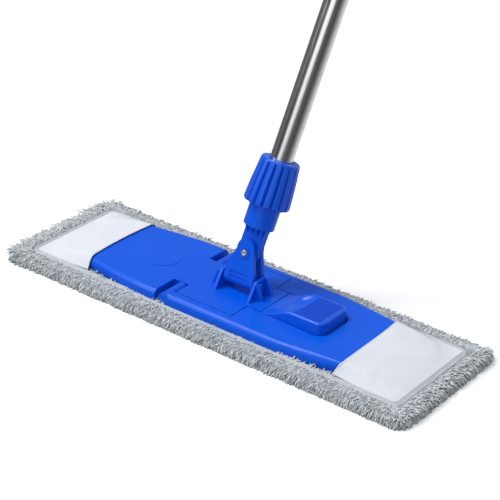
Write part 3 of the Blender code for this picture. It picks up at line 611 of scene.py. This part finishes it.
def ring_band(name, half_x, half_y, corner, profile, step=0.0025):
    """Sweeps an outline of (outward, height) points round a rounded rectangle."""
    path = rounded_outline(half_x, half_y, corner, step)
    rows = len(path)
    count = len(profile)
    verts = []
    for point, out in path:
        for offset, height in profile:
            place = point + out * offset
            verts.append((place.x, place.y, height))
    faces = []
    for row in range(rows):
        for col in range(count):
            a = row * count + col
            b = row * count + (col + 1) % count
            c = ((row + 1) % rows) * count + (col + 1) % count
            d = ((row + 1) % rows) * count + col
            faces.append((a, b, c, d))
    piece = new_piece(name, verts, faces)
    close_skin(50)
    return piece


# the second colour is the painted shade in the gaps between loops and the random fibre tone
TAPE = woven_loops("binding tape", (0.56, 0.59, 0.62, 1), (0.38, 0.41, 0.43, 1),
                   pitch=0.0008, depth=0.0003, sheen=0.2)
tape_profile = [(0.0, 0.0078), (0.0, 0.0091), (0.0006, 0.0096), (0.0016, 0.0094), (0.0020, 0.0089),
                (0.0024, 0.0094), (0.0034, 0.0096), (0.0040, 0.0090), (0.0044, 0.0094), (0.0056, 0.0094),
                (0.0062, 0.0088), (0.0062, 0.0078)]
tape = ring_band("binding_tape", BINDING_HALF_X, BINDING_HALF_Y, BINDING_CORNER, tape_profile)
tape.data.materials.append(TAPE)
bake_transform(tape)

# ---------------------------------------------------------------- pile fringe
# The twisted microfibre strands that stand round the pad's edge. Each is a
# soft tapered cord, 4 to 12 mm long, tufted into the pad; they lie outwards,
# and those at the rim droop to the floor.

STRAND_COUNT = 13000
STRAND_SIDES = 5
STRAND_RINGS = 4
SHORTEST, LONGEST = 0.0043, 0.0062
THINNEST, THICKEST = 0.00052, 0.00076
FRONT_BAND, REAR_BAND, END_BAND = 0.0250, 0.0235, 0.0195
UNDER_FRAME_SPAN = 0.150
OVERHANG = 0.007
RIM_DEPTH, SHOULDER_DEPTH = 0.0045, 0.010
TUFT_HEIGHT = 0.0078
RIGHT_PILE_START = 0.110
rng = np.random.default_rng(7)


def strand_form():
    """One bent tapered cord along +X, bending towards -Z, of unit length."""
    verts = []
    for ring in range(STRAND_RINGS):
        along = (0.0, 0.36, 0.72, 0.93)[ring]
        girth = (0.75, 1.0, 1.0, 0.66)[ring]
        droop = -0.30 * along ** 2
        for side in range(STRAND_SIDES):
            angle = 2 * math.pi * (side + 0.35 * ring) / STRAND_SIDES
            verts.append((along, girth * math.cos(angle), droop, girth * math.sin(angle)))
    verts.append((1.0, 0.0, -0.30, 0.0))
    faces = [tuple(reversed(range(STRAND_SIDES)))]
    for ring in range(STRAND_RINGS - 1):
        for side in range(STRAND_SIDES):
            a = ring * STRAND_SIDES + side
            b = ring * STRAND_SIDES + (side + 1) % STRAND_SIDES
            faces.append((a, b, b + STRAND_SIDES, a + STRAND_SIDES))
    last = (STRAND_RINGS - 1) * STRAND_SIDES
    for side in range(STRAND_SIDES):
        faces.append((last + side, last + (side + 1) % STRAND_SIDES, STRAND_RINGS * STRAND_SIDES))
    return np.array(verts), faces


form_verts, form_faces = strand_form()


def strand_material():
    """Twisted microfibre: tone per strand, painted shade darkening each strand towards its root, fine
    fibres.
    """
    material, tree, surface = shader("pile strands")
    place = tree.nodes.new("ShaderNodeTexCoord").outputs["Object"]
    own = tree.nodes.new("ShaderNodeAttribute")
    own.attribute_name = "strand_shade"
    along = tree.nodes.new("ShaderNodeAttribute")
    along.attribute_name = "strand_along"
    fibre = noise_node(tree, place, 1500.0, 4.0)
    shade = mix_colour(tree, own.outputs["Fac"], (0.45, 0.485, 0.51, 1), (0.69, 0.72, 0.74, 1))
    # painted shade: each strand darkens towards its root, where the strands shade one another
    depth = ramp(tree, along.outputs["Fac"], 0.0, 0.5, 0.8, 0.0)
    rooted = mix_colour(tree, depth, shade, (0.22, 0.24, 0.255, 1))
    fuzz = mix_colour(tree, ramp(tree, fibre, 0.35, 0.7, 0.0, 0.25), rooted, (0.26, 0.28, 0.30, 1))
    tree.links.new(fuzz, surface.inputs["Base Color"])
    add_bump(tree, surface, fibre, 0.8, 0.0004)
    surface.inputs["Roughness"].default_value = 0.9
    surface.inputs["Specular IOR Level"].default_value = 0.2
    surface.inputs["Sheen Weight"].default_value = 0.3
    return material


PILE = strand_material()


def rim_places(count):
    """Roots, outward directions and heights of strands round the pad's rim."""
    path = rounded_outline(PAD_LENGTH / 2, PAD_WIDTH / 2, PAD_CORNER, 0.002)
    rows = []
    for _ in range(count):
        point, out = path[rng.integers(len(path))]
        tangent = Vector((-out.y, out.x))
        point = point + tangent * rng.uniform(-0.001, 0.001)
        end = abs(out.x)
        if out.y < -0.5:
            band = FRONT_BAND
        elif out.y > 0.5 and abs(point.x) < UNDER_FRAME_SPAN:
            band = REAR_BAND
        else:
            band = END_BAND - 0.002 * end
        inward = rng.uniform(-OVERHANG, band)
        yaw = rng.normal(0.0, 0.60)
        longer = 1.3 if point.x < -0.205 else 1.0
        length = rng.uniform(SHORTEST, LONGEST)
        if inward < RIM_DEPTH:
            height = 0.0012 + 0.0068 * max(0.0, inward + OVERHANG) / (OVERHANG + RIM_DEPTH)
            inward = RIM_DEPTH
            tip = -rng.uniform(0.35, 1.25)
            length *= (1.15 + 0.25 * end) * longer
            yaw *= 0.6
        elif inward < SHOULDER_DEPTH:
            height = TUFT_HEIGHT
            tip = rng.uniform(-0.5, 0.25) + 0.45 * end
            length *= (1.1 + 0.25 * end) * longer
        else:
            height = TUFT_HEIGHT + 0.0008 * math.sin(min(1.0, inward / band) * math.pi)
            tip = rng.uniform(0.08, 0.60) + 0.30 * end * rng.uniform(0.0, 1.0)
            length *= 1.0 + 0.2 * end
            beside_frame = inward > band - 0.004 and out.y < -0.5 and abs(point.x) < UNDER_FRAME_SPAN
            if beside_frame and rng.uniform() < 0.3:
                yaw += math.pi
                tip = rng.uniform(0.5, 1.1)
        rows.append((point - out * inward, out, height, tip, yaw, length))
    return rows


def make_pile(name, places):
    """Joins many posed copies of the strand into one mesh."""
    count = len(places)
    per = len(form_verts)
    verts = np.zeros((count, per, 3))
    for number, (root, out, height, tip, yaw, length) in enumerate(places):
        radius = rng.uniform(THINNEST, THICKEST)
        flat = Vector((out.x * math.cos(yaw) - out.y * math.sin(yaw),
                       out.x * math.sin(yaw) + out.y * math.cos(yaw)))
        direction = Vector((flat.x * math.cos(tip), flat.y * math.cos(tip), math.sin(tip)))
        side = Vector((-flat.y, flat.x, 0.0))
        up = direction.cross(side)
        place = np.array(root.to_3d()) + np.array((0, 0, height))
        shape = (np.outer(form_verts[:, 0] * length, direction)
                 + np.outer(form_verts[:, 1] * radius, side)
                 + np.outer(form_verts[:, 2] * length + form_verts[:, 3] * radius, up))
        sway = rng.uniform(-0.25, 0.25) * length
        shape += np.outer(form_verts[:, 0] ** 2 * sway, side)
        shape += place
        verts[number] = shape
    verts[:, :, 2] = np.maximum(verts[:, :, 2], 0.0002)
    faces = [tuple(i + number * per for i in face) for number in range(count) for face in form_faces]
    piece = new_piece(name, verts.reshape(-1, 3).tolist(), faces)
    shade = piece.data.attributes.new("strand_shade", "FLOAT", "POINT")
    shade.data.foreach_set("value", np.repeat(rng.uniform(0.0, 1.0, count), per).astype(np.float32))
    # strand_along runs from root to tip and drives the painted shade at each strand's root
    along = piece.data.attributes.new("strand_along", "FLOAT", "POINT")
    along.data.foreach_set("value", np.tile(form_verts[:, 0], count).astype(np.float32))
    bpy.ops.object.shade_smooth()
    piece.data.materials.append(PILE)
    return piece


places = rim_places(STRAND_COUNT)
pile_left = make_pile("pile_left", [p for p in places if p[0].x < FOLD_START])
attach(pile_left, "left_half")
pile_middle = make_pile("pile_middle", [p for p in places if FOLD_START <= p[0].x <= FOLD_END])
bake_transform(pile_middle)
pile_centre = make_pile("pile_centre", [p for p in places if FOLD_END < p[0].x <= RIGHT_PILE_START])
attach(pile_centre, "right_half")
pile_right = make_pile("pile_right", [p for p in places if p[0].x > RIGHT_PILE_START])
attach(pile_right, "right_half")

# ---------------------------------------------------------------- end pockets
# White ribbed cloth sewn to the pad at both ends, stretched over the tips of
# the frame. The mouth is hemmed and curves in; the other three sides are sewn.

POCKET_END = 0.2125
POCKET_HALF = 0.0555
POCKET_CORNER = 0.0035
SEAM_HEIGHT = 0.0092
WING_END = 0.198
WING_TOP = 0.020
SHOULDER = 0.007
TIP_SLOPE_START = 0.152
TIP_FALL = 0.007
TIP_CORNER = 0.012
CLOTH = 0.0009
STRETCH_STEPS = 2600
SOFTEN_STEPS = 14


def wing_half_width(x):
    """The frame's half width at a distance x from the middle."""
    return 0.057 - 0.017 * (max(0.0, abs(x) - 0.075) / 0.123) ** 1.3


def frame_height(x, y):
    """How high cloth resting on the frame's tip lies at (x, y)."""
    inside_x = WING_END + CLOTH - abs(x)
    inside_y = (wing_half_width(min(abs(x), WING_END)) + CLOTH - abs(y)) * 0.96
    if inside_x < TIP_CORNER and inside_y < TIP_CORNER:
        inside = TIP_CORNER - math.hypot(TIP_CORNER - inside_x, TIP_CORNER - inside_y)
    else:
        inside = min(inside_x, inside_y)
    top = WING_TOP - TIP_FALL * max(0.0, abs(x) - TIP_SLOPE_START) / (WING_END - TIP_SLOPE_START)
    if inside < 0:
        return SEAM_HEIGHT - 0.001
    if inside >= SHOULDER:
        return top + CLOTH
    rounded = WING_TOP - SHOULDER + math.sqrt(SHOULDER ** 2 - (SHOULDER - inside) ** 2)
    return min(top, rounded) + CLOTH


def mouth(side, v):
    """Where the mouth's edge lies along x for v from -1 (front) to 1 (back)."""
    drop = max(0.0, -v - 0.84) / 0.16
    if side < 0:
        return 0.1502 - 0.0030 * v ** 2
    return 0.1505 - 0.003 * max(0.0, v) ** 2 + 0.0006 * max(0.0, -v) - 0.006 * drop


def sew_down(skin):
    """Holds the sheet's three sewn sides at the height of the seam."""
    skin[-1, :] = SEAM_HEIGHT
    skin[:, 0] = SEAM_HEIGHT
    skin[:, -1] = SEAM_HEIGHT


def relaxed(skin):
    """Each inner point of the sheet moved to the mean of its four neighbours."""
    mean = skin.copy()
    mean[1:-1, 1:-1] = (skin[:-2, 1:-1] + skin[2:, 1:-1] + skin[1:-1, :-2] + skin[1:-1, 2:]) / 4
    return mean


def pocket_cloth(side, name, across=110, along=84):
    """Stretches a sheet over the frame's tip: a taut skin resting on the frame."""
    low = np.zeros((along + 1, across + 1))
    grid_x = np.zeros_like(low)
    grid_y = np.zeros_like(low)
    for i in range(along + 1):
        for j in range(across + 1):
            v = 2.0 * j / across - 1.0
            start = mouth(side, v)
            x = start + (POCKET_END - start) * i / along
            y = (POCKET_HALF - 0.0025 * max(0.0, 1.0 - 2.0 * i / along)) * v
            dx = x - (POCKET_END - POCKET_CORNER)
            dy = abs(y) - (POCKET_HALF - POCKET_CORNER)
            if dx > 0 and dy > 0:
                scale = max(dx, dy) / math.hypot(dx, dy)
                x = POCKET_END - POCKET_CORNER + dx * scale
                y = math.copysign(POCKET_HALF - POCKET_CORNER + dy * scale, y)
            grid_x[i, j] = x
            grid_y[i, j] = y
            low[i, j] = frame_height(x, y)
    skin = np.full_like(low, WING_TOP + CLOTH)
    for _ in range(STRETCH_STEPS):
        sew_down(skin)
        mean = relaxed(skin)
        mean[0, 1:-1] = (2 * skin[1, 1:-1] + skin[0, :-2] + skin[0, 2:]) / 4
        skin = np.maximum(mean, low)
    for _ in range(SOFTEN_STEPS):
        skin = np.maximum(relaxed(skin), low - 0.00035)
    sew_down(skin)
    verts = []
    for i in range(along + 1):
        for j in range(across + 1):
            x, y = grid_x[i, j], grid_y[i, j]
            edge = min(1.0, i / 6.0) * min(1.0, (along - i) / 8.0) * min(1.0, min(j, across - j) / 10.0)
            crease = noise.noise(Vector((x * 60 * side, y * 26, 3.0 + side)))
            fold = max(0.0, crease) * 0.0008 * edge
            verts.append((side * x, y, skin[i, j] + fold))
    faces = []
    for i in range(along):
        for j in range(across):
            a = i * (across + 1) + j
            quad = (a, a + 1, a + across + 2, a + across + 1)
            faces.append(quad if side < 0 else tuple(reversed(quad)))
    piece = new_piece(name, verts, faces)
    shell = piece.modifiers.new("cloth", "SOLIDIFY")
    shell.thickness = 0.0006
    shell.offset = 1.0
    bpy.ops.object.modifier_apply(modifier="cloth")
    bpy.ops.object.shade_smooth_by_angle(angle=math.radians(60))
    edge_line = [Vector(verts[j]) for j in range(across + 1)]
    return piece, edge_line


def white_cloth():
    """Bleached ribbed knit: ribs across the pad, fine threads, soft sheen; painted shade darkens the rib
    grooves near the front edge.
    """
    material, tree, surface = shader("white pocket cloth")
    place = tree.nodes.new("ShaderNodeTexCoord").outputs["Object"]
    ribs = tree.nodes.new("ShaderNodeTexWave")
    ribs.bands_direction = "Y"
    ribs.inputs["Scale"].default_value = 205.0
    ribs.inputs["Distortion"].default_value = 0.3
    ribs.inputs["Detail"].default_value = 1.0
    tree.links.new(place, ribs.inputs["Vector"])
    spot = tree.nodes.new("ShaderNodeSeparateXYZ")
    tree.links.new(place, spot.inputs[0])
    near_front = ramp(tree, spot.outputs["Y"], -0.040, -0.050, 0.12, 1.0)
    thread = noise_node(tree, place, 1700.0, 3.0, (1.0, 0.5, 1.0))
    drift = noise_node(tree, place, 45.0, 4.0)
    # painted shade: the colour darkens in the rib grooves, most strongly near the front edge
    lines = maths(tree, "MULTIPLY", ramp(tree, ribs.outputs["Fac"], 0.0, 0.8, 0.6, 0.0), near_front)
    shade = maths(tree, "ADD", lines, ramp(tree, drift, 0.3, 0.7, 0.0, 0.3))
    # the second colour is both the painted shade in the rib grooves and random tone
    colour = mix_colour(tree, shade, (0.68, 0.70, 0.745, 1), (0.55, 0.575, 0.625, 1))
    tree.links.new(colour, surface.inputs["Base Color"])
    rib_height = maths(tree, "MULTIPLY", ribs.outputs["Fac"], 0.7)
    height = maths(tree, "ADD", rib_height, maths(tree, "MULTIPLY", thread, 0.4))
    add_bump(tree, surface, height, 0.5, 0.0002)
    surface.inputs["Roughness"].default_value = 0.85
    surface.inputs["Specular IOR Level"].default_value = 0.2
    surface.inputs["Sheen Weight"].default_value = 0.2
    return material


WHITE = white_cloth()


def hem_roll(name, line, radius=0.00055, sides=8):
    """A narrow turned hem along the mouth, a little flattened."""
    verts = []
    faces = []
    for number, point in enumerate(line):
        ahead = line[min(number + 1, len(line) - 1)] - line[max(number - 1, 0)]
        ahead.normalize()
        across = ahead.cross(Vector((0, 0, 1))).normalized()
        up = across.cross(ahead)
        for turn in range(sides):
            angle = 2 * math.pi * turn / sides
            place = point + across * math.cos(angle) * radius * 1.5
            place += up * (math.sin(angle) * radius + 0.0004)
            verts.append(tuple(place))
    for number in range(len(line) - 1):
        for turn in range(sides):
            a = number * sides + turn
            b = number * sides + (turn + 1) % sides
            faces.append((a, b, b + sides, a + sides))
    faces.append(tuple(range(sides)))
    faces.append(tuple(reversed(range((len(line) - 1) * sides, len(line) * sides))))
    piece = new_piece(name, verts, faces)
    close_skin(60)
    return piece


for side, body, wing, node in ((-1, "left_half", "left_wing_moulding", "pocket_left"),
                               (1, "right_half", "right_wing_moulding", "pocket_right")):
    cloth, edge_line = pocket_cloth(side, node + "_cloth")
    cloth.data.materials.append(WHITE)
    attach(cloth, body)
    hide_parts(node)
    hem = hem_roll(node + "_hem", edge_line)
    hem.data.materials.append(WHITE)
    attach(hem, body)

# ---------------------------------------------------------------- studio
# A pale floor, a plain bright room and soft lights from above and to the left.
# Polished parts see soft upright bands in the room instead of the floor.

bpy.ops.mesh.primitive_plane_add(size=60.0, location=(0, 0, -0.0002))
floor = bpy.context.active_object
floor.name = "floor"
paper, tree, surface = shader("pale paper")
surface.inputs["Base Color"].default_value = (0.97, 0.97, 0.97, 1)
surface.inputs["Roughness"].default_value = 0.95
surface.inputs["Specular IOR Level"].default_value = 0.0
lookup = tree.nodes.new("ShaderNodeLightPath")
dim = tree.nodes.new("ShaderNodeBsdfDiffuse")
dim.inputs["Color"].default_value = (0.46, 0.46, 0.47, 1)
clear = tree.nodes.new("ShaderNodeBsdfTransparent")
bounce = tree.nodes.new("ShaderNodeMixShader")
gloss = tree.nodes.new("ShaderNodeMixShader")
tree.links.new(lookup.outputs["Is Diffuse Ray"], bounce.inputs[0])
tree.links.new(surface.outputs[0], bounce.inputs[1])
tree.links.new(dim.outputs[0], bounce.inputs[2])
tree.links.new(lookup.outputs["Is Glossy Ray"], gloss.inputs[0])
tree.links.new(bounce.outputs[0], gloss.inputs[1])
tree.links.new(clear.outputs[0], gloss.inputs[2])
tree.links.new(gloss.outputs[0], tree.nodes["Material Output"].inputs["Surface"])
floor.data.materials.append(paper)

VIEW_BEARING = math.radians(36.6765)
VIEW_RISE = math.radians(27.8754)
VIEW_ROLL = math.radians(-2.1725)
VIEW_PLACE = (0.7868, -1.0431, 0.7521)
VIEW_LENS = 113.8968
BANDS = [(0.0, 0.30), (0.16, 0.12), (0.25, 0.16), (0.295, 0.03), (0.355, 0.17), (0.395, 1.15),
         (0.44, 0.45), (0.50, 0.13), (0.61, 0.07), (0.69, 0.27), (0.78, 0.66), (0.90, 0.80), (1.0, 0.30)]

world = bpy.data.worlds.new("room")
bpy.context.scene.world = world
world.use_nodes = True
room = world.node_tree
backdrop = room.nodes["Background"]
place = room.nodes.new("ShaderNodeTexCoord").outputs["Generated"]
parts = room.nodes.new("ShaderNodeSeparateXYZ")
room.links.new(place, parts.inputs[0])
bearing = maths(room, "ARCTAN2", parts.outputs["X"], maths(room, "MULTIPLY", parts.outputs["Y"], -1.0))
turn = maths(room, "DIVIDE", maths(room, "SUBTRACT", bearing, VIEW_BEARING), 2 * math.pi)
turn = maths(room, "FRACT", maths(room, "ADD", turn, 1.5))
bands = room.nodes.new("ShaderNodeValToRGB")
room.links.new(turn, bands.inputs["Fac"])
while len(bands.color_ramp.elements) > 1:
    bands.color_ramp.elements.remove(bands.color_ramp.elements[-1])
for number, (position, value) in enumerate(BANDS):
    stop = bands.color_ramp.elements.new(position) if number else bands.color_ramp.elements[0]
    stop.position = position
    stop.color = (value, value, value, 1)
path = room.nodes.new("ShaderNodeLightPath")
plain = mix_colour(room, path.outputs["Is Camera Ray"], (0.45, 0.46, 0.475, 1), (1.0, 1.0, 1.0, 1))
mixed = mix_colour(room, path.outputs["Is Glossy Ray"], plain, bands.outputs["Color"])
room.links.new(mixed, backdrop.inputs["Color"])
backdrop.inputs["Strength"].default_value = 1.0


def soft_light(name, power, size, place, target=(0, 0, 0.03)):
    """A square soft box aimed at the mop."""
    lamp = bpy.data.lights.new(name, "AREA")
    lamp.energy = power
    lamp.size = size
    piece = bpy.data.objects.new(name, lamp)
    bpy.context.scene.collection.objects.link(piece)
    piece.location = place
    piece.rotation_euler = (Vector(target) - Vector(place)).to_track_quat("-Z", "Y").to_euler()


def wide_light(name, strength, spread, place):
    """A broad, far light that reaches every part alike."""
    lamp = bpy.data.lights.new(name, "SUN")
    lamp.energy = strength
    lamp.angle = spread
    piece = bpy.data.objects.new(name, lamp)
    bpy.context.scene.collection.objects.link(piece)
    piece.location = place
    piece.rotation_euler = Vector(place).to_track_quat("Z", "Y").to_euler()


wide_light("key", 2.05, 0.55, (-0.85, -0.45, 1.95))
wide_light("fill", 0.50, 1.0, (0.6, -1.4, 1.0))
soft_light("strip", 5.0, 0.35, (-1.1, -1.0, 0.9))

camera_data = bpy.data.cameras.new("view")
camera_data.lens = VIEW_LENS
camera_data.clip_start = 0.01
camera = bpy.data.objects.new("view", camera_data)
bpy.context.scene.collection.objects.link(camera)
back = Vector((math.sin(VIEW_BEARING) * math.cos(VIEW_RISE), -math.cos(VIEW_BEARING) * math.cos(VIEW_RISE),
               math.sin(VIEW_RISE)))
right = (-back).cross(Vector((0, 0, 1))).normalized()
down = (-back).cross(right)
across = math.cos(VIEW_ROLL) * right + math.sin(VIEW_ROLL) * down
under = -math.sin(VIEW_ROLL) * right + math.cos(VIEW_ROLL) * down
turned = Matrix((across, -under, back)).transposed().to_4x4()
camera.matrix_world = Matrix.Translation(VIEW_PLACE) @ turned
bpy.context.scene.camera = camera
bpy.context.scene.view_settings.view_transform = "Standard"
